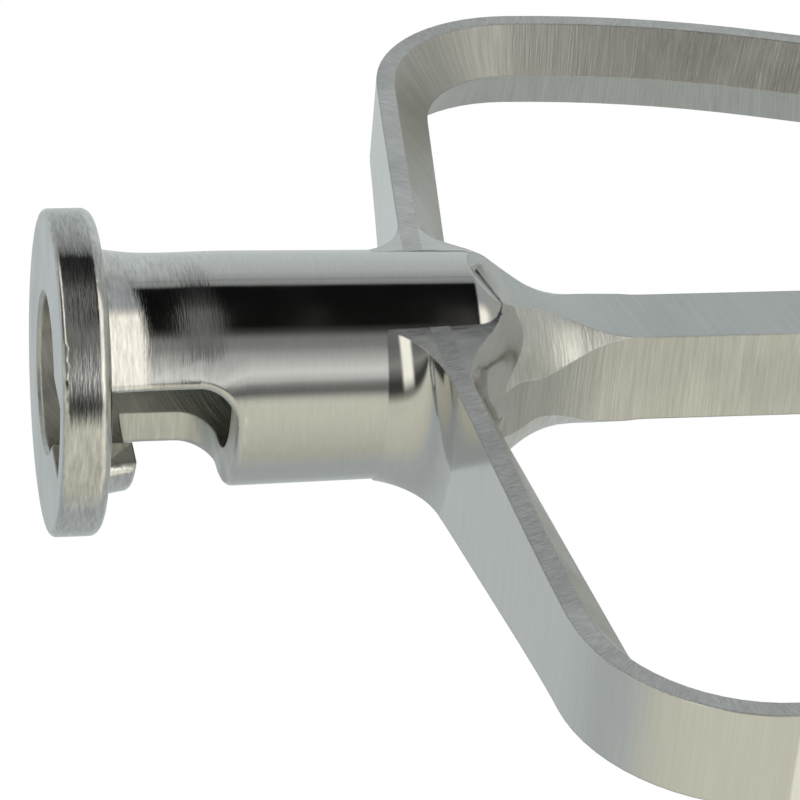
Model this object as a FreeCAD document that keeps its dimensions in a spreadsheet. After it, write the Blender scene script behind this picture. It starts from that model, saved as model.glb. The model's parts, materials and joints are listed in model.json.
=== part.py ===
"""Flat beater of a stand mixer: one casting with a bayonet hub, a square
spine and a looped frame.

Axes: the shaft bore runs along Z and opens upwards, with the centre of its
mouth at the origin. The frame lies in the XZ plane and its front face looks
towards -Y. Depths below the mouth are positive sizes, so a depth d is z = -d.
All sizes are millimetres.
"""
import os
import FreeCAD
import Part
import Sketcher
from FreeCAD import Placement, Rotation, Vector

# ---------------------------------------------------------------- dimensions
SIZES = {
    # bayonet hub
    "bore_radius": 6.4,            # running fit on a 12.7 mm shaft
    "bore_depth": 27.0,
    "drill_point": 2.2,            # cone left by the drill under the bore
    "mouth_chamfer": 0.3,
    "flange_radius": 13.2,
    "flange_thickness": 3.9,
    "rim_front_round": 0.5,
    "rim_back_round": 0.9,
    "barrel_top_radius": 9.7,      # the barrel has about 1 degree of draft
    "barrel_low_radius": 9.2,
    # pin entry and lock
    "keyway_half_width": 3.3,
    "keyway_reach": 11.0,
    "lip_depth": 6.5,              # underside of the lip that holds the pin
    "window_floor": 14.2,
    "window_corner": 3.0,
    "window_edge_round": 0.6,      # polished edge all round the window
    "rest_wall": 2.7,              # wall that stops the pin, on the +X side
    # turned neck between the barrel and the spine
    "neck_below_shoulder": 4.7,    # the barrel ends this far under the shoulders
    "neck_convex": 4.0,
    "neck_concave": 8.0,
    "neck_slope": 0.70,            # radius lost per millimetre of depth
    "core_radius": 5.3,
    # square spine, with flats that flare out into the neck
    "spine_half_width": 3.36,
    "spine_half_depth": 3.95,
    "side_flare_radius": 21.0,
    "front_flare_radius": 26.0,
    "flare_length": 15.7,
    # looped frame
    "shoulder_depth": 29.1,        # where the two shoulders would meet
    "shoulder_slope": 0.116,
    "half_width": 54.2,
    "corner_radius": 14.5,
    "side_radius": 81.0,
    "side_arc_end": 72.0,
    "overall_length": 134.0,
    "foot_radius": 18.0,
    # frame section: a flat back strip, two bevels and a ridge inside
    "strip_width": 1.6,
    "ridge_inset": 4.9,
    "front_reach": 3.65,
    "back_reach": 4.55,
    "taper_from": 40.0,            # outboard of this the section is constant
    "taper_rate": 0.093,           # depth gained on each face per millimetre
    "taper_ease": 4.0,             # length over which the taper fades in
    "root_front": 8.6,
    "root_back": 8.8,
    "root_inner": 2.0,             # the roots end inside the barrel
    "join_radius": 3.0,            # fillet between barrel and shoulder
    # plain cross ribs
    "rib_half_width": 2.6,
    "rib_half_depth": 3.2,
    "rib_spine_depth": 100.0,
    "rib_side_depth": 84.0,
}

doc = FreeCAD.newDocument("flat_beater")
sheet = doc.addObject("Spreadsheet::Sheet", "dims")
for row, (name, number) in enumerate(SIZES.items(), start=1):
    sheet.set("A%d" % row, name)
    sheet.set("B%d" % row, str(number))
    sheet.setAlias("B%d" % row, name)
doc.recompute()


class Size:
    """A number together with the expression over the sheet that gives it."""

    def __init__(self, value, text=None):
        self.value = float(value)
        self.text = repr(float(value)) if text is None else text

    def _join(self, other, sign, value):
        return Size(value, "(%s %s %s)" % (self.text, sign, other.text))

    def __add__(self, other):
        other = as_size(other)
        return self._join(other, "+", self.value + other.value)

    def __sub__(self, other):
        other = as_size(other)
        return self._join(other, "-", self.value - other.value)

    def __mul__(self, other):
        other = as_size(other)
        return self._join(other, "*", self.value * other.value)

    def __truediv__(self, other):
        other = as_size(other)
        return self._join(other, "/", self.value / other.value)

    def __neg__(self):
        return Size(-self.value, "(-1 * %s)" % self.text)


def as_size(number):
    return number if isinstance(number, Size) else Size(number)


def cell(name):
    return Size(sheet.get(name), "dims.%s" % name)


def root(size):
    return Size(size.value ** 0.5, "sqrt(%s)" % size.text)


# ------------------------------------------------------------ sketch helpers
PLANES = {"XY": "XY_Plane", "XZ": "XZ_Plane", "YZ": "YZ_Plane"}


def new_sketch(body, name, plane, offset=0.0):
    """A sketch on one of the body's own planes, moved along its normal."""
    sketch = body.newObject("Sketcher::SketchObject", name)
    support = [f for f in body.Origin.OriginFeatures if f.Role == PLANES[plane]]
    sketch.AttachmentSupport = [(support[0], "")]
    sketch.MapMode = "FlatFace"
    sketch.AttachmentOffset = Placement(Vector(0, 0, as_size(offset).value), Rotation())
    if isinstance(offset, Size):
        sketch.setExpression("AttachmentOffset.Base.z", offset.text)
    return sketch


def pin_point(sketch, geo, pos, point):
    """Fix a vertex with two distances from the origin, bound to the sheet."""
    for kind, coordinate in (("DistanceX", point[0]), ("DistanceY", point[1])):
        index = sketch.addConstraint(
            Sketcher.Constraint(kind, -1, 1, geo, pos, coordinate.value))
        sketch.setExpression("Constraints[%d]" % index, coordinate.text)


def arc_through(start, end, radius, bulge):
    """Arc of a given radius between two points; bulge +1 bends it to the left
    of the way from start to end, -1 to the right."""
    a = Vector(start[0].value, start[1].value, 0)
    b = Vector(end[0].value, end[1].value, 0)
    chord = b - a
    across = Vector(-chord.y, chord.x, 0).normalize()
    rise = radius.value - (radius.value ** 2 - (chord.Length / 2) ** 2) ** 0.5
    return Part.Arc(a, (a + b) * 0.5 + across * (bulge * rise), b)


def draw(sketch, points, arcs=None, closed=True):
    """Lines through the points; arcs maps a span's number to (radius, bulge)."""
    arcs = arcs or {}
    points = [(as_size(x), as_size(y)) for x, y in points]
    spans = len(points) if closed else len(points) - 1
    ids, ends = [], []
    for i in range(spans):
        a, b = points[i], points[(i + 1) % len(points)]
        if i in arcs:
            radius, bulge = arcs[i]
            geo = sketch.addGeometry(arc_through(a, b, radius, bulge))
            # an arc runs anticlockwise, so a bend to the right starts at 1
            ends.append((1, 2) if bulge < 0 else (2, 1))
        else:
            geo = sketch.addGeometry(Part.LineSegment(
                Vector(a[0].value, a[1].value, 0), Vector(b[0].value, b[1].value, 0)))
            ends.append((1, 2))
        ids.append(geo)
    for i in range(spans if closed else spans - 1):
        j = (i + 1) % spans
        sketch.addConstraint(Sketcher.Constraint(
            "Coincident", ids[i], ends[i][1], ids[j], ends[j][0]))
    for i in range(spans):
        pin_point(sketch, ids[i], ends[i][0], points[i])
        if i in arcs:
            index = sketch.addConstraint(
                Sketcher.Constraint("Radius", ids[i], arcs[i][0].value))
            sketch.setExpression("Constraints[%d]" % index, arcs[i][0].text)
    if not closed:
        pin_point(sketch, ids[-1], ends[-1][1], points[-1])
    return sketch


# ----------------------------------------------------------------- the core
neck_start = cell("shoulder_depth") + cell("neck_below_shoulder")


def core_profile():
    """Half section of everything that is round about the bore."""
    rim, thick = cell("flange_radius"), cell("flange_thickness")
    front, back = cell("rim_front_round"), cell("rim_back_round")
    bore, chamfer = cell("bore_radius"), cell("mouth_chamfer")
    low, core = cell("barrel_low_radius"), cell("core_radius")
    start, slope = neck_start, cell("neck_slope")
    convex, concave = cell("neck_convex"), cell("neck_concave")
    across = root(slope * slope + 1)
    sine, cosine = slope / across, Size(1) / across
    r_a, d_a = low - convex * (Size(1) - cosine), start + convex * sine
    r_b = core + concave * (Size(1) - cosine)
    d_b = d_a + (r_a - r_b) / slope
    d_c = d_b + concave * sine
    points = [
        (bore + chamfer, Size(0)),
        (rim - front, Size(0)),
        (rim, -front),
        (rim, back - thick),
        (rim - back, -thick),
        (cell("barrel_top_radius"), -thick),
        (low, -start),
        (r_a, -d_a),
        (r_b, -d_b),
        (core, -d_c),
        (core, Size(2) - cell("overall_length")),
        (Size(0), Size(2) - cell("overall_length")),
        (Size(0), -(cell("bore_depth") + cell("drill_point"))),
        (bore, -cell("bore_depth")),
        (bore, -chamfer),
    ]
    arcs = {1: (front, 1), 3: (back, 1), 6: (convex, 1), 8: (concave, -1)}
    return points, arcs


def flat_cutters(half, flare):
    """The two areas beside the spine, flared out at the top, as seen square on."""
    length = cell("flare_length")
    top, end = neck_start, neck_start + length
    rise = flare - root(flare * flare - length * length)
    reach, bottom = cell("flange_radius"), -cell("overall_length")
    loops = []
    for side in (1, -1):
        points = [(half + rise, -top), (half, -end), (half, bottom),
                  (reach, bottom), (reach, -top)]
        loops.append(([(x if side > 0 else -x, z) for x, z in points],
                      {0: (flare, -side)}))
    return loops


core = doc.addObject("PartDesign::Body", "core")
profile = new_sketch(core, "turned_profile", "XZ")
draw(profile, *core_profile())
turned = core.newObject("PartDesign::Revolution", "turned_core")
turned.Profile = profile
turned.ReferenceAxis = (profile, ["V_Axis"])
turned.Angle = 360
doc.recompute()

for plane, half, flare in (("XZ", "spine_half_width", "side_flare_radius"),
                           ("YZ", "spine_half_depth", "front_flare_radius")):
    beside = new_sketch(core, "beside_spine_" + plane.lower(), plane)
    for points, arcs in flat_cutters(cell(half), cell(flare)):
        draw(beside, points, arcs)
    flats = core.newObject("PartDesign::Pocket", "spine_flats_" + plane.lower())
    flats.Profile = beside
    flats.Type = "ThroughAll"
    flats.Midplane = True
    doc.recompute()

# pin entry: a radial slot through the flange and the top of the barrel
half, reach = cell("keyway_half_width"), cell("keyway_reach")
corner = root(reach * reach - half * half)
entry = new_sketch(core, "pin_entry_outline", "XY")
draw(entry, [(Size(0), -half), (Size(0), half), (-corner, half), (-corner, -half)],
     {2: (reach, -1)})
pin_entry = core.newObject("PartDesign::Pocket", "pin_entry")
pin_entry.Profile = entry
pin_entry.setExpression("Length", "dims.lip_depth + 1")
pin_entry.Reversed = False
doc.recompute()

# ---------------------------------------------------------------- the frame
m, wide = cell("shoulder_slope"), cell("half_width")
secant = root(m * m + 1)
# the corner's centre, and the place where the side's arc runs out straight
r_c, r_s = cell("corner_radius"), cell("side_radius")
x_c = wide - r_c
d_c = cell("shoulder_depth") + m * x_c + r_c * secant
past = cell("side_arc_end") - d_c
chord = root(r_s * r_s - past * past)
x_e, d_e = wide - r_s + chord, cell("side_arc_end")
side_lean = past / chord


def frame_outline():
    """Right half of the frame's outside, from the middle of the foot up to the
    taper's start on the shoulder. Every join is tangent."""
    r_f = cell("foot_radius")
    on_shoulder = (x_c + r_c * m / secant, -(d_c - r_c / secant))
    cosine, sine = chord / r_s, past / r_s
    run = (cell("overall_length") - r_f - d_e + r_f * sine) / cosine
    foot_start = (x_e - run * sine, -(d_e + run * cosine))
    x_f = foot_start[0] - r_f * cosine
    x_t = cell("taper_from") - 2
    points = [
        (Size(0), -cell("overall_length")),
        (x_f, -cell("overall_length")),
        foot_start,
        (x_e, -d_e),
        (wide, -d_c),
        on_shoulder,
        (x_t, -(cell("shoulder_depth") + m * x_t)),
    ]
    arcs = {1: (r_f, -1), 3: (r_s, -1), 4: (r_c, -1)}
    return points, arcs


def house(outer, inward, front, back, stretch=Size(1)):
    """Frame section in the YZ plane: an outer face at height outer, a strip
    and a bevel on each side, and a ridge inside. inward is +1 when the ridge
    is above the outer face and -1 when it is below."""
    strip, ridge = cell("strip_width") * stretch, cell("ridge_inset") * stretch
    return [(-front, outer), (-front, outer + strip * inward),
            (Size(0), outer + ridge * inward),
            (back, outer + strip * inward), (back, outer)]


frame = doc.addObject("PartDesign::Body", "frame")
path = new_sketch(frame, "frame_path", "XZ")
draw(path, *frame_outline(), closed=False)
section = new_sketch(frame, "frame_section", "YZ")
draw(section, house(-cell("overall_length"), 1, cell("front_reach"),
                    cell("back_reach")))
loop = frame.newObject("PartDesign::AdditivePipe", "frame_loop")
loop.Profile = section
loop.Spine = (path, [])
loop.Mode = "Standard"
loop.Transition = "Transformed"
doc.recompute()


# shoulders: the same section grows deeper towards the hub
def shoulder_section(x, front, back):
    station = new_sketch(frame, "shoulder_section", "YZ", x)
    return draw(station, house(-(cell("shoulder_depth") + m * x), -1,
                               front, back, secant))


stations = []
for inboard in (0, 4, 11, 19, 27):
    run = Size(inboard)
    grown = cell("taper_rate") * run * run / (run + cell("taper_ease"))
    stations.append(shoulder_section(cell("taper_from") - run,
                                     cell("front_reach") + grown,
                                     cell("back_reach") + grown))
stations.append(shoulder_section(cell("root_inner"), cell("root_front"),
                                 cell("root_back")))
shoulder = frame.newObject("PartDesign::AdditiveLoft", "shoulder")
shoulder.Profile = stations[0]
shoulder.Sections = stations[1:]
shoulder.Ruled = False
doc.recompute()

# one plain rib from the spine up to the side, where it ends under the strips
half = cell("rib_half_width")
inner_z, outer_z = -cell("rib_spine_depth"), -cell("rib_side_depth")
rib_end = x_e - (cell("rib_side_depth") - d_e) * side_lean - cell("strip_width")
rib_sketch = new_sketch(frame, "rib_outline", "XZ")
draw(rib_sketch, [(Size(0), inner_z + half), (Size(0), inner_z - half),
                  (rib_end - half * side_lean, outer_z - half),
                  (rib_end + half * side_lean, outer_z + half)])
rib = frame.newObject("PartDesign::Pad", "rib")
rib.Profile = rib_sketch
rib.setExpression("Length", "2 * dims.rib_half_depth")
rib.Midplane = True
doc.recompute()

mirror = frame.newObject("PartDesign::Mirrored", "left_half")
mirror.Originals = [loop, shoulder, rib]
yz = [f for f in frame.Origin.OriginFeatures if f.Role == "YZ_Plane"][0]
mirror.MirrorPlane = (yz, [""])
frame.Tip = mirror
doc.recompute()

# --------------------------------------------------------- joined and locked
joined = doc.addObject("Part::MultiFuse", "joined")
joined.Shapes = [core, frame]
doc.recompute()


def edges_where(shape, test):
    return [i for i, edge in enumerate(shape.Edges, start=1) if test(edge)]


def at_barrel_join(edge):
    """The saddle edges where the shoulders' outer faces meet the barrel."""
    middle, barrel = edge.CenterOfMass, SIZES["barrel_low_radius"]
    face = SIZES["shoulder_depth"] + SIZES["shoulder_slope"] * abs(middle.x)
    return (barrel / 2 < abs(middle.x) < SIZES["barrel_top_radius"] and
            edge.BoundBox.YLength > barrel / 2 and abs(middle.z + face) < 0.1)


blended = doc.addObject("Part::Fillet", "blended")
blended.Base = joined
blend = SIZES["join_radius"]
blended.Edges = [(i, blend, blend) for i in edges_where(joined.Shape, at_barrel_join)]
doc.recompute()

# lock window: milled under the lip, from the entry round to the rest wall
cutter = doc.addObject("Part::Box", "window_cutter")
cutter.setExpression("Length", "dims.flange_radius + dims.rest_wall")
cutter.setExpression("Width", "dims.flange_radius + dims.keyway_half_width")
cutter.setExpression("Height", "dims.window_floor - dims.lip_depth")
cutter.setExpression("Placement.Base.x", "-dims.flange_radius")
cutter.setExpression("Placement.Base.y", "-dims.keyway_half_width")
cutter.setExpression("Placement.Base.z", "-dims.window_floor")
doc.recompute()


floor = -SIZES["window_floor"]
rounded = doc.addObject("Part::Fillet", "window_cutter_rounded")
rounded.Base = cutter
rounded.Edges = [(i, SIZES["window_corner"], SIZES["window_corner"]) for i in edges_where(
    cutter.Shape, lambda e: abs(e.CenterOfMass.z - floor) < 1e-6 and (
        abs(e.CenterOfMass.x - SIZES["rest_wall"]) < 1e-6 or
        abs(e.CenterOfMass.y + SIZES["keyway_half_width"]) < 1e-6))]
doc.recompute()

milled = doc.addObject("Part::Cut", "milled")
milled.Base = blended
milled.Tool = rounded
doc.recompute()


def on_window_rim(edge):
    """Edges that the window and the pin entry leave in the barrel's outside."""
    top, low = SIZES["barrel_top_radius"], SIZES["barrel_low_radius"]
    thick = SIZES["flange_thickness"]
    length = neck_start.value - thick
    first, last = edge.ParameterRange
    for k in range(5):
        point = edge.valueAt(first + (last - first) * k / 4)
        barrel = top - (top - low) * (-point.z - thick) / length
        if abs((point.x ** 2 + point.y ** 2) ** 0.5 - barrel) > 0.02:
            return False
    box = edge.BoundBox
    return (box.ZMin > -SIZES["window_floor"] - 0.1 and
            box.ZMax < -thick + 0.01 and box.ZMin < -thick - 0.5)


beater = doc.addObject("Part::Fillet", "beater")
beater.Base = milled
polish = SIZES["window_edge_round"]
beater.Edges = [(i, polish, polish) for i in edges_where(milled.Shape, on_window_rim)]
beater.Label = "flat_beater"
doc.recompute()

# -------------------------------------------------------------------- output
for item in doc.Objects:
    if any(word in item.State for word in ("Invalid", "Error")):
        raise RuntimeError("%s failed: %s" % (item.Label, item.State))
os.makedirs("parts", exist_ok=True)
for part in (beater,):
    shape = part.Shape
    if shape.isNull() or not shape.isValid() or len(shape.Solids) != 1:
        raise RuntimeError("%s is not one sound solid" % part.Label)
    print(part.Label, "volume %.0f mm3" % shape.Volume, shape.BoundBox)
    shape.exportStep("parts/%s.step" % part.Label)
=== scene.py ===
import bmesh
import bpy
import json
import math
from collections import namedtuple
from mathutils import Matrix, Vector

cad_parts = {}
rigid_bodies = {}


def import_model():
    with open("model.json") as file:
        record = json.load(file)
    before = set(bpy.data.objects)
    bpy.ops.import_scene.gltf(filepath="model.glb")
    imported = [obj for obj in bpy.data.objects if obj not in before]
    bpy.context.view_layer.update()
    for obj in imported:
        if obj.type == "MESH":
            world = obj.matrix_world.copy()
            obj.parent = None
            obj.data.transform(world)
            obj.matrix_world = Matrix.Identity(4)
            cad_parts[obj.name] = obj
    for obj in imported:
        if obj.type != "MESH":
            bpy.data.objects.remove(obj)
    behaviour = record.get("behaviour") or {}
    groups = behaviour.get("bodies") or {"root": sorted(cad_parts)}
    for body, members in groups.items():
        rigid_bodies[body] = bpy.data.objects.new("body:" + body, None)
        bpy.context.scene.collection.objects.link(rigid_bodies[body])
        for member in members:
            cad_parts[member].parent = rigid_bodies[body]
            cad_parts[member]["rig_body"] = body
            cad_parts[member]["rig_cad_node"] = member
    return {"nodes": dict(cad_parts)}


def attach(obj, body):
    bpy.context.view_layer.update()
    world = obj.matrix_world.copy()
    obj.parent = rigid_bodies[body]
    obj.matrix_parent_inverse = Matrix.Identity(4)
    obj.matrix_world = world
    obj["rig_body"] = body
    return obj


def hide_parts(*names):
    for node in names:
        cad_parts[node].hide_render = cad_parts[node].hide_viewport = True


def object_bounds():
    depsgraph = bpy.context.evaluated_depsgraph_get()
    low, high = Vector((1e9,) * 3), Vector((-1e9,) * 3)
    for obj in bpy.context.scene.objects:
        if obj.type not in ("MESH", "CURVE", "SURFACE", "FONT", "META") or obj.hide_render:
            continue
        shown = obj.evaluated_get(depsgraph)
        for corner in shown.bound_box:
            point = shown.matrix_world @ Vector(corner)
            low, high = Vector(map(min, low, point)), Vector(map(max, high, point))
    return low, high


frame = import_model()
cad_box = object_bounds()

# ------------------------------------------------------------------ the studio
# A pale sweep with a round patch of floor under the foot, a camera on a long
# lens, and soft light that comes from all round: a light backdrop, a dim front
# and a pale table, as in a small product tent.
scene = bpy.context.scene
scene.view_settings.view_transform = "Standard"

lens = bpy.data.cameras.new("long_lens")
lens.sensor_width = 36.0
lens.lens = 183.469
lens.clip_start = 0.01
lens.clip_end = 20.0
camera = bpy.data.objects.new("camera", lens)
scene.collection.objects.link(camera)
right = Vector((-0.17389118, -0.07705532, -0.98174555))
up = Vector((0.53625943, -0.84356258, -0.02877508))
back = Vector((-0.82594654, -0.53147404, 0.18800973))
turn = Matrix((right, up, back)).transposed().to_4x4()
stand = Vector((-0.27626756, -0.17421176, 0.03361210))
camera.matrix_world = Matrix.Translation(stand) @ turn
scene.camera = camera

tent = bpy.data.worlds.new("tent")
scene.world = tent
tent.use_nodes = True
light = tent.node_tree
light.nodes.clear()


def add_node(tree, kind, inputs=(), **values):
    """A node with its values set and its inputs given as numbers or sockets."""
    node = tree.nodes.new(kind)
    for name, value in values.items():
        setattr(node, name, value)
    for key, value in dict(inputs).items():
        if isinstance(value, bpy.types.NodeSocket):
            tree.links.new(value, node.inputs[key])
        else:
            node.inputs[key].default_value = value
    return node


def maths(tree, operation, *values):
    """What one Math node makes of numbers or sockets."""
    return add_node(tree, "ShaderNodeMath", enumerate(values),
                    operation=operation).outputs[0]


def fade(tree, value, start, end, first=0.0, last=1.0, kind="SMOOTHSTEP"):
    """Goes from first to last while a value goes from start to end."""
    return add_node(tree, "ShaderNodeMapRange",
                    {"Value": value, "From Min": start, "From Max": end,
                     "To Min": first, "To Max": last},
                    interpolation_type=kind).outputs[0]


def mixture(tree, factor, first, second):
    """Two colours mixed by a factor."""
    return add_node(tree, "ShaderNodeMix", {"Factor": factor, "A": first, "B": second},
                    data_type="RGBA").outputs["Result"]


# where a ray goes: round the part's axis, as a share of a turn, and along it
TOWARDS_LENS, UP_IN_VIEW = (-0.84104, -0.54097, 0.0), (0.54097, -0.84104, 0.0)
way = add_node(light, "ShaderNodeTexCoord").outputs["Generated"]
towards, above, axial = [
    add_node(light, "ShaderNodeVectorMath", {0: way, 1: direction},
             operation="DOT_PRODUCT").outputs["Value"]
    for direction in (TOWARDS_LENS, UP_IN_VIEW, (0.0, 0.0, 1.0))]
place = maths(light, "MULTIPLY_ADD", maths(light, "ARCTAN2", above, towards),
              0.5 / math.pi, 0.5)

LIGHT = 1.156                    # how far the whole tent is turned up
BACKDROP, BEHIND, TABLE = 60, -110, -25


def tone_of(degrees, level):
    """A tone's colour: the backdrop is a little cool and the table a little warm."""
    cool, warm = 1, 0
    if degrees > BEHIND:
        cool = min(max((degrees - BACKDROP) / 60, 0), 1)
        warm = min(max((TABLE - degrees) / 10, 0), 1)
    level *= LIGHT
    return (level * (1 - 0.065 * cool + 0.02 * warm), level,
            level * (1 - 0.03 * (1 - cool) - 0.12 * warm), 1.0)


def tones_round(steps):
    """Light by the angle above the lens, in degrees, all round the object."""
    node = add_node(light, "ShaderNodeValToRGB", {0: place})
    ramp = node.color_ramp
    while len(ramp.elements) < len(steps):
        ramp.elements.new(0.5)
    for element, (degrees, level) in zip(ramp.elements, steps):
        element.position = degrees / 360 + 0.5
    for element, (degrees, level) in zip(ramp.elements, steps):
        element.color = tone_of(degrees, level)
    return node.outputs[0]


def between(value, one_end, other_end):
    """1 between two soft ends, each given by where it is 0 and where it is 1."""
    return maths(light, "MULTIPLY", fade(light, value, *one_end),
                 fade(light, value, *other_end))


# level with the barrel: table, dark gap, soft box, dark ceiling, backdrop
level_barrel = tones_round([
    (-179, 0.50), (-143, 0.42), (-120, 0.43), (-96, 0.48), (-74, 0.56), (-55, 0.62),
    (-38, 0.64), (-33, 0.54), (-30, 0.34), (-26, 0.14), (-22, 0.17), (-18, 0.27),
    (-14, 0.54), (-6, 0.76), (2, 0.58), (10, 0.41), (18, 0.25), (27, 0.21),
    (34, 0.05), (40, 0.006), (86, 0.005), (88.5, 0.26), (94, 0.35), (95.7, 0.26),
    (97.5, 0.37), (108, 0.50), (130, 0.58), (160, 0.58), (179, 0.50)])
# level with the flange, where the soft box ends and the room shows
level_flange = tones_round([
    (-179, 0.50), (-143, 0.42), (-116, 0.44), (-89, 0.54), (-60, 0.61),
    (-42, 0.60), (-34, 0.20), (-30, 0.06), (-22, 0.045), (-13, 0.15), (-4, 0.28),
    (4, 0.20), (14, 0.16), (46, 0.18), (56, 0.17), (66, 0.07), (76, 0.035),
    (87, 0.025), (92, 0.14), (98, 0.26), (113, 0.36), (131, 0.42), (155, 0.52),
    (179, 0.52)])
tones = mixture(light, fade(light, axial, -0.128, -0.114), level_barrel, level_flange)

# the table is brighter away to the right
right_table = maths(light, "MULTIPLY", fade(light, axial, -0.21, -0.30),
                    between(place, (0.44, 0.40), (0.20, 0.27)))
# two tall soft boxes, one on each side of the lens; the right one is only the
# lower half, and over it hangs a grey card
left_box = between(axial, (0.34, 0.44), (0.74, 0.64))
right_end = fade(light, axial, -0.25, -0.31)
right_box = maths(light, "MULTIPLY", right_end, fade(light, place, 0.69, 0.64))
grey_card = maths(light, "MULTIPLY", right_end,
                  between(place, (0.64, 0.69), (0.82, 0.77)))
boxes = maths(light, "MULTIPLY", between(place, (0.80, 0.70), (0.40, 0.46)),
              maths(light, "MAXIMUM", left_box, right_box))
for mask, colour in ((right_table, (1.00, 0.98, 0.86, 1.0)),
                     (grey_card, (0.42, 0.44, 0.45, 1.0)),
                     (boxes, (1.35, 1.30, 1.17, 1.0))):
    tones = mixture(light, mask, tones, colour)

# the camera itself sees plain white round the object
soft_light = add_node(light, "ShaderNodeBackground", {"Color": tones})
white = add_node(light, "ShaderNodeBackground", {"Color": (1, 1, 1, 1)})
rays = add_node(light, "ShaderNodeLightPath")
seen = add_node(light, "ShaderNodeMixShader", {
    0: rays.outputs["Is Camera Ray"], 1: soft_light.outputs[0], 2: white.outputs[0]})
add_node(light, "ShaderNodeOutputWorld", {"Surface": seen.outputs[0]})

# the floor's edge fades out, so that no line shows where the sweep starts
FLOOR, FLOOR_GAP, FADE_FROM, FADE_TO = 0.20, 0.0002, 0.09, 0.195
bpy.ops.object.select_all(action="DESELECT")
bpy.ops.mesh.primitive_circle_add(vertices=96, radius=FLOOR, fill_type="NGON",
                                  location=(0, 0, cad_box[0][2] - FLOOR_GAP))
floor = bpy.context.object
floor.name = "floor"
bpy.ops.object.transform_apply(location=True, rotation=True, scale=True)
paper = bpy.data.materials.new("floor_paper")
paper.use_nodes = True
tree = paper.node_tree
shader = tree.nodes["Principled BSDF"]
shader.inputs["Base Color"].default_value = (0.88, 0.88, 0.87, 1)
shader.inputs["Roughness"].default_value = 0.7
spot = add_node(tree, "ShaderNodeTexCoord").outputs["Object"]
level = add_node(tree, "ShaderNodeVectorMath", {0: spot, 1: (1, 1, 0)},
                 operation="MULTIPLY")
from_middle = add_node(tree, "ShaderNodeVectorMath", {0: level.outputs[0]},
                       operation="LENGTH").outputs["Value"]
clear = add_node(tree, "ShaderNodeBsdfTransparent")
patch = add_node(tree, "ShaderNodeMixShader", {
    0: fade(tree, from_middle, FADE_FROM, FADE_TO, 1.0, 0.0),
    1: clear.outputs[0], 2: shader.outputs[0]})
tree.links.new(patch.outputs[0], tree.nodes["Material Output"].inputs["Surface"])
floor.data.materials.append(paper)

# ---------------------------------------------------------------- the casting
# The whole beater is one stainless casting. It is ground to shape on a belt,
# then the hub and the outer faces are polished and the inner faces are left as
# the belt left them, with its lines across every bar.
#
# Its sizes, in millimetres; a depth is measured down from the bore's mouth.
BORE, BORE_END, BARREL, DRAFT, FLANGE_BACK, HUB_END = 6.4, 30.0, 9.2, 0.5, 3.9, 33.8
KEYWAY_HALF, KEYWAY_REACH, WINDOW_FLOOR = 3.3, 11.0, 14.2
CONVEX, CONCAVE, FALL, CORE, NECK_END = 4.0, 8.0, 0.70, 5.3, 49.5
SPINE_X, SPINE_Y, SIDE_FLARE, FRONT_FLARE = 3.36, 3.95, 21.0, 26.0
SHOULDER, SLOPE, HALF_WIDTH, CORNER = 29.1, 0.116, 54.2, 14.5
SIDE, SIDE_END, LENGTH, FOOT = 81.0, 72.0, 134.0, 18.0
STRIP_WIDTH, RIDGE, FRONT_REACH, BACK_MORE = 1.6, 4.9, 3.65, 0.9
TAPER_FROM, TAPER_RATE, TAPER_EASE = 40.0, 0.093, 4.0
RIBS_FROM, RIBS_TO, RIBS_REACH = 80, 105, 45

secant = math.sqrt(1 + SLOPE ** 2)
corner_x = HALF_WIDTH - CORNER
corner_d = SHOULDER + SLOPE * corner_x + CORNER * secant
chord = math.sqrt(SIDE ** 2 - (SIDE_END - corner_d) ** 2)
side_x = HALF_WIDTH - SIDE + chord
lean_cos, lean_sin = chord / SIDE, (SIDE_END - corner_d) / SIDE
straight = (LENGTH - FOOT - SIDE_END + FOOT * lean_sin) / lean_cos
foot_x = side_x - straight * lean_sin - FOOT * lean_cos


def along_frame(x, depth):
    """(length along the frame's outside, distance inside it) of a point."""
    x, found = abs(x), []
    # shoulder
    base = (corner_x + CORNER * SLOPE / secant) * secant
    reach = (x + SLOPE * (depth - SHOULDER)) / secant
    if reach <= base:
        found.append((reach, (depth - SHOULDER - SLOPE * x) / secant))
    # corner
    whole = math.pi / 2 - math.atan(SLOPE)
    angle = math.atan2(x - corner_x, corner_d - depth) - math.atan(SLOPE)
    if x > corner_x and 0 <= angle <= whole:
        found.append((base + CORNER * angle,
                      CORNER - math.hypot(x - corner_x, depth - corner_d)))
    base += CORNER * whole
    # bowed side
    centre = HALF_WIDTH - SIDE
    whole = math.asin(lean_sin)
    angle = math.atan2(depth - corner_d, x - centre)
    if 0 <= angle <= whole:
        found.append((base + SIDE * angle,
                      SIDE - math.hypot(x - centre, depth - corner_d)))
    base += SIDE * whole
    # straight side
    reach = (depth - SIDE_END) * lean_cos - (x - side_x) * lean_sin
    if 0 <= reach <= straight:
        found.append((base + reach,
                      -(x - side_x) * lean_cos - (depth - SIDE_END) * lean_sin))
    base += straight
    # corner of the foot, and the foot
    whole = math.pi / 2 - math.asin(lean_sin)
    angle = math.atan2(depth - (LENGTH - FOOT), x - foot_x) - math.asin(lean_sin)
    if 0 <= angle <= whole:
        found.append((base + FOOT * angle,
                      FOOT - math.hypot(x - foot_x, depth - LENGTH + FOOT)))
    base += FOOT * whole
    if x <= foot_x:
        found.append((base + foot_x - x, LENGTH - depth))
    # inside the loop two stretches can claim a point: the one it lies on wins
    return min(found, key=lambda pair: abs(pair[1] - 1.5), default=(0.0, 0.0))


def barrel_at(depth):
    """The barrel's radius, which its draft makes larger towards the flange."""
    return BARREL + DRAFT * (HUB_END - depth) / (HUB_END - FLANGE_BACK)


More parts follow.
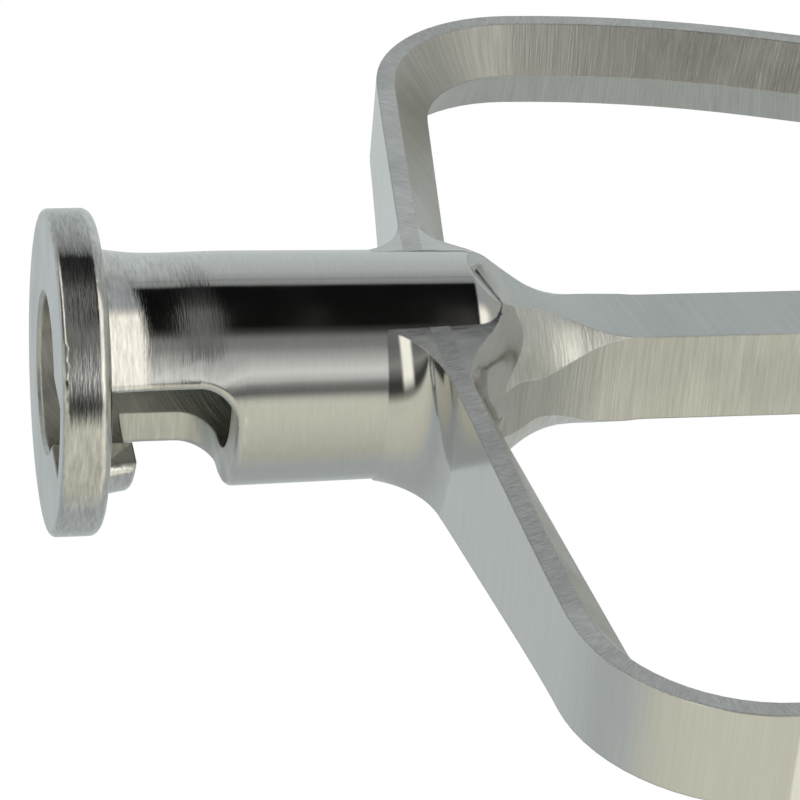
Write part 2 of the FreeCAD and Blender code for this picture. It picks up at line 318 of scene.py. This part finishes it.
# the neck's ogee: a round, a slant and a hollow, down to the spine's core
slant = math.hypot(1, FALL)
round_end = HUB_END + CONVEX * FALL / slant
slant_top = BARREL - CONVEX * (1 - 1 / slant)
slant_foot = CORE + CONCAVE * (1 - 1 / slant)
hollow_from = round_end + (slant_top - slant_foot) / FALL
hollow_end = hollow_from + CONCAVE * FALL / slant
FAR_OUT = 20.0                   # the flats don't cut the hub


def core_distances(x, y, depth):
    """How far a point is outside the turned form, the side and the front flats."""
    up = min(max(NECK_END - depth, 0), NECK_END - HUB_END)
    side = SPINE_X + SIDE_FLARE - math.sqrt(SIDE_FLARE ** 2 - up ** 2)
    front = SPINE_Y + FRONT_FLARE - math.sqrt(FRONT_FLARE ** 2 - up ** 2)
    if depth < HUB_END:
        turned, side, front = barrel_at(depth), FAR_OUT, FAR_OUT
    elif depth < round_end:
        turned = BARREL - CONVEX + math.sqrt(CONVEX ** 2 - (depth - HUB_END) ** 2)
    elif depth < hollow_from:
        turned = slant_top - FALL * (depth - round_end)
    else:
        rest = max(hollow_end - depth, 0)
        turned = CORE + CONCAVE - math.sqrt(CONCAVE ** 2 - rest ** 2)
    return math.hypot(x, y) - turned, abs(x) - side, abs(y) - front


def ease(share):
    """Smooth step from 0 to 1."""
    share = min(max(share, 0.0), 1.0)
    return share * share * (3 - 2 * share)


# Each shoulder grows deeper towards the barrel and is blended into it: with a
# 3 mm fillet outside, and in the crotch with a broad fill near the strips.
ROOT_FROM, ROOT_CURVE, BACK_FALL = 13.0, (5.84, 0.105, 0.0095, 0.0001), 0.0046
BLEND_OUTSIDE, BLEND_MIDDLE, BLEND_CROTCH = 4.8, 1.6, 6.0
Root = namedtuple("Root", "core blend strip bar inset overlap")
ON_CORE, ON_BLEND, ON_STRIP = range(3)


def root_distances(x, y, depth):
    """How far a point is outside the core, the blended shoulder and its strips,
    and then the bar alone, its place across the bar and its share of blending."""
    core = max(core_distances(x, y, depth))
    outboard, near = TAPER_FROM - abs(x), max(ROOT_FROM - abs(x), 0.0)
    reach = FRONT_REACH + TAPER_RATE * outboard * outboard / (outboard + TAPER_EASE)
    if near:
        reach = sum(k * near ** n for n, k in enumerate(ROOT_CURVE))
    if y > 0:
        reach += BACK_MORE - BACK_FALL * near ** 2
    inset = (depth - SHOULDER - SLOPE * abs(x)) / secant
    rise = RIDGE - STRIP_WIDTH
    bevel = ((inset - RIDGE) * reach + rise * abs(y)) / math.hypot(reach, rise)
    bar = max(-inset, bevel)
    fill = (BLEND_CROTCH - BLEND_MIDDLE) * ease((abs(y) - 1.5) / 4.5)
    size = BLEND_OUTSIDE + ease((inset - 0.3) / 2.4) * (
        fill - (BLEND_OUTSIDE - BLEND_MIDDLE))
    overlap = max(size - abs(core - bar), 0) / size
    blend = min(core, bar) - overlap ** 2 * size / 4
    return Root(core, blend, abs(y) - reach, bar, inset, overlap)


def root_kind(root):
    """Which of the three root surfaces is the outside here."""
    if root.core <= max(root.blend, root.strip):
        return ON_CORE
    return ON_BLEND if root.blend >= root.strip else ON_STRIP


def outside_of(kind):
    """The distance function of one root surface, or of all three together."""
    def distance(x, y, depth):
        root = root_distances(x, y, depth)
        if kind is None:
            return min(root.core, max(root.blend, root.strip))
        return root[kind]
    return distance


def slope_of(distance, spot, step=0.01):
    """A distance at a spot, and its gradient in the part's own axes."""
    here = distance(spot.x, spot.y, -spot.z)
    return here, Vector((distance(spot.x + step, spot.y, -spot.z) - here,
                         distance(spot.x, spot.y + step, -spot.z) - here,
                         distance(spot.x, spot.y, -spot.z - step) - here)) / step


def draw_on(spot, kinds, rounds=5):
    """The point moved on to the named root surfaces, in turns."""
    for _ in range(rounds):
        for kind in kinds:
            here, slope = slope_of(outside_of(kind), spot)
            if slope.length > 0.1:
                spot = spot - slope * (here / slope.length_squared)
    return spot


source = frame["nodes"]["flat_beater"]
bpy.ops.object.select_all(action="DESELECT")
source.select_set(True)
bpy.context.view_layer.objects.active = source
bpy.ops.object.duplicate()
casting = bpy.context.object
casting.name = "casting"
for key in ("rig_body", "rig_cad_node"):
    if key in casting:
        del casting[key]
casting.parent = None
mesh = casting.data

# the CAD's own normals are kept on the corners, because the edits lose them
bm = bmesh.new()
bm.from_mesh(mesh)
cad_normal = bm.loops.layers.float_vector.new("cad_normal")
exact = [Vector(n.vector) for n in mesh.corner_normals]
for face in bm.faces:
    for loop, index in zip(face.loops, mesh.polygons[face.index].loop_indices):
        loop[cad_normal] = exact[index]
bmesh.ops.remove_doubles(bm, verts=bm.verts, dist=2e-6)
finish = bm.faces.layers.int.new("finish")
grain = bm.loops.layers.float_vector.new("grain")


def in_mm(vertex):
    """(x, y, depth) of a vertex, in millimetres."""
    return vertex.co.x * 1000, vertex.co.y * 1000, -vertex.co.z * 1000


def once(items):
    """Each item once, in the order they come, so that every run is the same."""
    return dict.fromkeys(items)


def cut_through(faces, planes):
    """What some faces become when they are cut along some planes."""
    for co, no in planes:
        geometry = list(faces)
        geometry += once(e for f in faces for e in f.edges)
        geometry += once(v for f in faces for v in f.verts)
        cut = bmesh.ops.bisect_plane(bm, geom=geometry, dist=1e-6,
                                     plane_co=co, plane_no=no)
        pieces = [g for g in cut["geom"] if isinstance(g, bmesh.types.BMFace)]
        faces = once(f for f in [*faces, *pieces] if f.is_valid)
    return faces


# Under the flange the mop has worn the barrel to a shallow waist and a cove.
WAIST, COVE, WORN, COVE_CURVE, WEAR_FROM = 15.0, 8.4, 0.15, 0.0227, 6.9
WEAR_RINGS = (4.2, 4.6, 5.1, 5.7, 6.3, 7.0, 7.7, 8.4, 9.2, 10.0, 11.0, 12.0, 13.0,
              14.0, 15.0)


def gained(depth):
    """Radius gained in the cove and lost in the waist, at a depth."""
    return (COVE_CURVE * max(COVE - depth, 0) ** 2
            - WORN * ease((WAIST - depth) / (WAIST - COVE)))


worn = once(f for f in bm.faces
            if 8.2 < (f.calc_center_median() * 1000).xy.length < 9.95
            and any(-WAIST < v.co.z * 1000 < -FLANGE_BACK - 0.01 for v in f.verts))
worn = cut_through(worn, [((0, 0, -ring / 1000), (0, 0, 1)) for ring in WEAR_RINGS])
worn_verts = once(v for f in worn for v in f.verts
                  if -WAIST < v.co.z * 1000 < -FLANGE_BACK + 0.01)
for face in once(f for v in worn_verts for f in v.link_faces):
    for loop in face.loops:
        depth = in_mm(loop.vert)[2]
        normal = loop[cad_normal]
        out = loop.vert.co.xy.normalized()
        if loop.vert in worn_verts and normal.xy.dot(out) > 0.3:
            change = (gained(depth + 0.01) - gained(depth - 0.01)) / 0.02
            normal.z += change * normal.xy.length
            loop[cad_normal] = normal.normalized()
for vertex in worn_verts:
    radius = vertex.co.xy.length * 1000
    share = min(max((radius - WEAR_FROM) / (BARREL - WEAR_FROM), 0), 1)
    vertex.co.xy *= 1 + gained(in_mm(vertex)[2]) * share / radius

# The roots are cut into half-millimetre cells and drawn on to their blended
# form; a cell that two surfaces share is split along the line between them.
CELL = 0.0005
near_roots = once(f for f in bm.faces if any(
    abs(v.co.x) < 0.0145 and -0.0415 < v.co.z < -0.0255 and
    (v.co.xy.length > 0.0066 or v.co.z < -0.0296) for v in f.verts))
planes = [((k * CELL, 0, 0), (1, 0, 0)) for k in range(-29, 30)]
planes += [((0, k * CELL, 0), (0, 1, 0)) for k in range(-18, 19)]
planes += [((0, 0, -0.026 - k * CELL), (0, 0, 1)) for k in range(31)]
near_roots = cut_through(near_roots, planes)


def worked(vertex):
    """Whether a vertex lies on the roots, and not in the bore."""
    x, y, z = vertex.co * 1000
    clear_of_bore = math.hypot(x, y) > (6.6 if z > -29.6 else 3)
    return abs(x) < 14.4 and -41.6 < z < -26.4 and clear_of_bore


moving = once(v for f in near_roots for v in f.verts if worked(v))
for vertex in moving:
    vertex.co = draw_on(vertex.co * 1000, (None,)) / 1000


def root_edges():
    """The edges with both ends on the roots."""
    return [e for e in once(e for v in moving for e in v.link_edges)
            if e.verts[0] in moving and e.verts[1] in moving]


def split(edge, share):
    """A new vertex on an edge, at a share of its length but clear of its ends."""
    share = min(max(share, 0.02), 0.98)
    return bmesh.utils.edge_split(edge, edge.verts[0], share)[1]


def join(added):
    """Cut the cells between the new vertices, which move with the others."""
    bmesh.ops.connect_verts(bm, verts=added)
    moving.update(once(added))


roots = {v: root_distances(*in_mm(v)) for v in moving}
shared = []
for edge in root_edges():
    ends = [roots[v] for v in edge.verts]
    pair = [root_kind(root) for root in ends]
    gap, far_gap = [root[pair[0]] - root[pair[1]] for root in ends]
    if gap * far_gap < 0:
        shared.append((edge, gap / (gap - far_gap), pair))
on_line = []
for edge, share, pair in shared:
    vertex = split(edge, share)
    vertex.co = draw_on(vertex.co * 1000, pair, 8) / 1000
    on_line.append(vertex)
join(on_line)


def split_along(measure):
    """Cut the cells of the roots along the line where a measure is zero."""
    values = {v: measure(*in_mm(v)) for v in moving}
    crossing = []
    for edge in root_edges():
        here, there = [values[v] for v in edge.verts]
        if here * there < 0:
            crossing.append((edge, here / (here - there)))
    join([split(edge, share) for edge, share in crossing])


def fill_edge(x, y, depth):
    """Above zero in the crotch, where the two forms are drawn together."""
    root = root_distances(x, y, depth)
    return min(root.overlap - 0.12, (root.inset - 0.6) / 4)


def strip_band(x, y, depth):
    """Above zero on the band that the belt ground last."""
    inset = root_distances(x, y, depth).inset
    return min(inset, STRIP_WIDTH - inset)


for measure in (fill_edge, strip_band):
    split_along(measure)
bmesh.ops.triangulate(bm, faces=[f for f in bm.faces if any(v in moving for v in f.verts)
                                 and len(f.verts) > 3])

# Each face now gets its finish and the way that its belt lines run.
POLISH, SEAT, FACE, GROUND, STRIP, CORNERS, DULL, WORKED = range(8)
GROUND_FROM = 36.0               # the mop can't reach further down the neck
HUB_ALONE, SHOULDERS_TO = 27.6, 36.0


def surface(face):
    """(finish, how its belt lines run) of one face of the CAD mesh."""
    centre = face.calc_center_median() * 1000
    x, y, depth = abs(centre.x), centre.y, -centre.z
    radius = math.hypot(centre.x, y)
    normal = face.normal
    wall = barrel_at(depth)
    inset = along_frame(x, depth)[1]
    if depth < FLANGE_BACK + 0.05:
        keyway = (centre.x < 0 and abs(y) < KEYWAY_HALF + 0.01
                  and radius < KEYWAY_REACH + 0.05)
        seat = (radius < BORE + 0.35 or keyway) and normal.z < 0.9
        level_face = abs(normal.z) > 0.9
        return (SEAT if seat else DULL if level_face else POLISH), "hub"
    in_window = radius < wall - 0.03 and (radius < BORE + 0.1 or radius < wall - 0.25)
    in_bore = radius < BORE + 0.1 and depth < BORE_END
    if in_bore or depth < WINDOW_FLOOR + 0.1 and in_window:
        return SEAT, "hub"
    if depth < HUB_ALONE:
        return POLISH, "hub"
    if (x < SPINE_X + 0.1 and abs(y) < SPINE_Y + 0.15
            and NECK_END - 0.3 < depth < LENGTH - 6):
        return (DULL if abs(normal.y) > 0.7 else GROUND), "hub"
    distances = core_distances(centre.x, y, depth)
    if depth < NECK_END + 0.3 and abs(max(distances)) < 0.08:
        turned, side, front = distances
        if side == max(distances):
            return GROUND, "hub"
        if front == max(distances):
            return DULL, "hub"
        return (POLISH if depth < GROUND_FROM else CORNERS), "hub"
    if RIBS_FROM < depth < RIBS_TO and x < RIBS_REACH and inset > RIDGE + 0.05:
        return GROUND, "rib"
    if abs(normal.y) > 0.93:
        return STRIP, "bar"
    if inset < 0.2 or (depth < SHOULDERS_TO and normal.z > 0.3):
        return FACE, "bar"
    return GROUND, "bar"


def root_surface(root, kind, place):
    """The same for one face of the roots."""
    turned, side, front = core_distances(*place)
    if kind == ON_STRIP:
        return (STRIP if strip_band(*place) > 0 else WORKED), "bar"
    if kind == ON_BLEND and fill_edge(*place) > 0:
        return WORKED, "worked"
    hub_side = root.core < root.bar or root.inset < 0.5 and root.core < BLEND_OUTSIDE
    if kind == ON_CORE or hub_side:
        if max(side, front) > turned:
            return (GROUND if side > front else DULL), "hub"
        return (POLISH if place[2] < GROUND_FROM else CORNERS), "hub"
    return (FACE if root.inset < 0.2 else GROUND), "bar"


OTHER_ARM = 200                  # so that the two arms' lines aren't the same
for face in bm.faces:
    face.normal_update()
    face[finish], lines = surface(face)
    if any(v in moving for v in face.verts):
        centre = face.calc_center_median() * 1000
        place = (centre.x, centre.y, -centre.z)
        root = root_distances(*place)
        kind = root_kind(root)
        face[finish], lines = root_surface(root, kind, place)
        for loop in face.loops:
            nudged = loop.vert.co * 850 + centre * 0.15
            loop[cad_normal] = slope_of(outside_of(kind), nudged)[1].normalized()
    for loop in face.loops:
        x, y, depth = in_mm(loop.vert)
        if lines == "bar":
            along, inset = along_frame(x, depth)
            loop[grain] = (along + (OTHER_ARM if x < 0 else 0), inset, y)
        elif lines == "rib":
            loop[grain] = (x, depth, y)
        elif lines == "worked":
            loop[grain] = (abs(x) + 2.0 * depth, x, y)
        else:
            loop[grain] = (depth, x, y)
bm.to_mesh(mesh)
bm.free()
bpy.ops.object.shade_smooth()
mesh.normals_split_custom_set(
    [Vector(n.vector).normalized() for n in mesh.attributes["cad_normal"].data])


def group_socket(group, name, kind, way_in, value=None):
    """A named input or output of a node group."""
    socket = group.interface.new_socket(name=name, in_out="INPUT" if way_in else "OUTPUT",
                                        socket_type="NodeSocket" + kind)
    if value is not None:
        socket.default_value = value


# belt lines: long thin scratches that lie side by side, with broader bands
belt = bpy.data.node_groups.new("belt_lines", "ShaderNodeTree")
group_socket(belt, "Grain", "Vector", True)
group_socket(belt, "Fine", "Float", True, 6.0)
group_socket(belt, "Run", "Float", True, 4.0)
group_socket(belt, "Lean", "Float", True, 0.0)
group_socket(belt, "Height", "Float", False)
group_socket(belt, "Shade", "Float", False)
enter = belt.nodes.new("NodeGroupInput").outputs
leave = belt.nodes.new("NodeGroupOutput").inputs
along, across, out = add_node(belt, "ShaderNodeSeparateXYZ", {0: enter["Grain"]}).outputs
leaned = maths(belt, "MULTIPLY_ADD", across, enter["Lean"], along)
noises = []
for finer, longer in ((1.0, 1.0), (0.3, 2.2)):
    count = maths(belt, "MULTIPLY", maths(belt, "MULTIPLY", leaned, enter["Fine"]), finer)
    run = maths(belt, "MULTIPLY", enter["Run"], longer)
    point = add_node(belt, "ShaderNodeCombineXYZ", {
        0: count, 1: maths(belt, "DIVIDE", across, run),
        2: maths(belt, "DIVIDE", out, run)})
    noise = add_node(belt, "ShaderNodeTexNoise", {
        "Vector": point.outputs[0], "Scale": 1.0, "Detail": 2.0, "Roughness": 0.6})
    noises.append(noise.outputs[0])
both = add_node(belt, "ShaderNodeMix", {"Factor": 0.35, "A": noises[0], "B": noises[1]})
belt.links.new(both.outputs[0], leave["Height"])
belt.links.new(fade(belt, both.outputs[0], 0.34, 0.66, kind="LINEAR"), leave["Shade"])

# haze: what a polishing mop leaves, a slow waviness and cloudy patches
haze = bpy.data.node_groups.new("mop_haze", "ShaderNodeTree")
group_socket(haze, "Size", "Float", True, 3.0)
group_socket(haze, "Height", "Float", False)
group_socket(haze, "Cloud", "Float", False)
enter = haze.nodes.new("NodeGroupInput").outputs
leave = haze.nodes.new("NodeGroupOutput").inputs
spot = add_node(haze, "ShaderNodeTexCoord").outputs["Object"]
slow = add_node(haze, "ShaderNodeTexNoise", {
    "Vector": spot, "Scale": maths(haze, "DIVIDE", 1000.0, enter["Size"]), "Detail": 2.0})
haze.links.new(slow.outputs[0], leave["Height"])
haze.links.new(fade(haze, slow.outputs[0], 0.38, 0.68, kind="LINEAR"), leave["Cloud"])

MICRON, EDGE = 1e-6, 0.00022


def steel(name, dark, light, rough, fine, run, lean, cut, wave, wave_size=6.0, ends=None):
    """A steel finish. dark and light are the tones of its lines, and rough is
    the range of its roughness. On the polished hub the two tones are partly
    painted glints, the light caught in its scratches near the flange. The lines
    are fine to the millimetre and run millimetres long, and lean across the
    bar. They are cut, and the mop's waves of wave_size millimetres are wave,
    micrometres deep. ends are the depths between which the lines, and with
    them the hub's painted glints, die out."""
    metal = bpy.data.materials.new(name)
    metal.use_nodes = True
    tree = metal.node_tree
    shader = tree.nodes["Principled BSDF"].inputs
    shader["Metallic"].default_value = 1.0
    way_of = add_node(tree, "ShaderNodeAttribute",
                      attribute_name="grain").outputs["Vector"]
    lines = add_node(tree, "ShaderNodeGroup", node_tree=belt)
    tree.links.new(way_of, lines.inputs["Grain"])
    for key, value in (("Fine", fine), ("Run", run), ("Lean", lean)):
        lines.inputs[key].default_value = value
    mop = add_node(tree, "ShaderNodeGroup", node_tree=haze)
    mop.inputs["Size"].default_value = wave_size
    shade, strong = lines.outputs["Shade"], None
    if ends:
        depth = add_node(tree, "ShaderNodeSeparateXYZ", {0: way_of}).outputs[0]
        strong = fade(tree, depth, *ends, 1.0, 0.12)
        shade = maths(tree, "SUBTRACT", shade, 0.5)
        shade = maths(tree, "MULTIPLY_ADD", shade, strong, 0.5)
    tree.links.new(mixture(tree, shade, (*dark, 1), (*light, 1)), shader["Base Color"])
    tree.links.new(fade(tree, mop.outputs["Cloud"], 0.0, 1.0, *rough, kind="LINEAR"),
                   shader["Roughness"])
    edge = add_node(tree, "ShaderNodeBevel", {"Radius": EDGE}, samples=4)
    wavy = add_node(tree, "ShaderNodeBump", {
        "Height": mop.outputs["Height"], "Distance": wave * MICRON,
        "Normal": edge.outputs[0]})
    lined = add_node(tree, "ShaderNodeBump", {
        "Height": lines.outputs["Height"], "Distance": cut * MICRON,
        "Normal": wavy.outputs[0]})
    if strong:
        tree.links.new(strong, lined.inputs["Strength"])
    tree.links.new(lined.outputs[0], shader["Normal"])
    return metal


# the finishes, in the order of their numbers
mesh.materials.clear()
for metal in (
        # on the hub the lines' dark and light tones are real scratch marks and also
        # painted glints, the light caught in the scratches, strongest by the flange and
        # fading down the barrel
        steel("polished_hub_painted_glints", dark=(0.50, 0.50, 0.50), light=(0.78, 0.78, 0.75),
              rough=(0.05, 0.10), fine=5.0, run=1.4, lean=0.0, cut=6.0, wave=5.0,
              ends=(5.0, 17.0)),
        steel("milled_seat", dark=(0.50, 0.50, 0.48), light=(0.66, 0.66, 0.63),
              rough=(0.30, 0.45), fine=3.0, run=5.0, lean=0.6, cut=40.0, wave=10.0,
              wave_size=2.0),
        steel("polished_face", dark=(0.70, 0.70, 0.68), light=(0.75, 0.75, 0.73),
              rough=(0.10, 0.18), fine=4.0, run=8.0, lean=0.2, cut=1.5, wave=8.0),
        steel("belt_ground", dark=(0.52, 0.52, 0.49), light=(0.66, 0.66, 0.63),
              rough=(0.32, 0.42), fine=7.0, run=5.0, lean=0.15, cut=42.0, wave=6.0),
        steel("belt_strip", dark=(0.50, 0.50, 0.49), light=(0.66, 0.66, 0.65),
              rough=(0.26, 0.38), fine=5.0, run=0.9, lean=0.3, cut=45.0, wave=6.0),
        steel("belt_corner", dark=(0.74, 0.74, 0.71), light=(0.92, 0.92, 0.88),
              rough=(0.28, 0.40), fine=4.5, run=1.6, lean=0.1, cut=55.0, wave=6.0),
        steel("dull_face", dark=(0.55, 0.57, 0.56), light=(0.59, 0.61, 0.60),
              rough=(0.16, 0.26), fine=4.0, run=8.0, lean=0.2, cut=2.0, wave=10.0),
        steel("worked_root", dark=(0.58, 0.58, 0.57), light=(0.64, 0.64, 0.63),
              rough=(0.12, 0.26), fine=2.0, run=5.0, lean=0.0, cut=8.0, wave=30.0,
              wave_size=2.5)):
    mesh.materials.append(metal)
for polygon, value in zip(mesh.polygons, mesh.attributes["finish"].data):
    polygon.material_index = value.value
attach(casting, "root")
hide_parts("flat_beater")
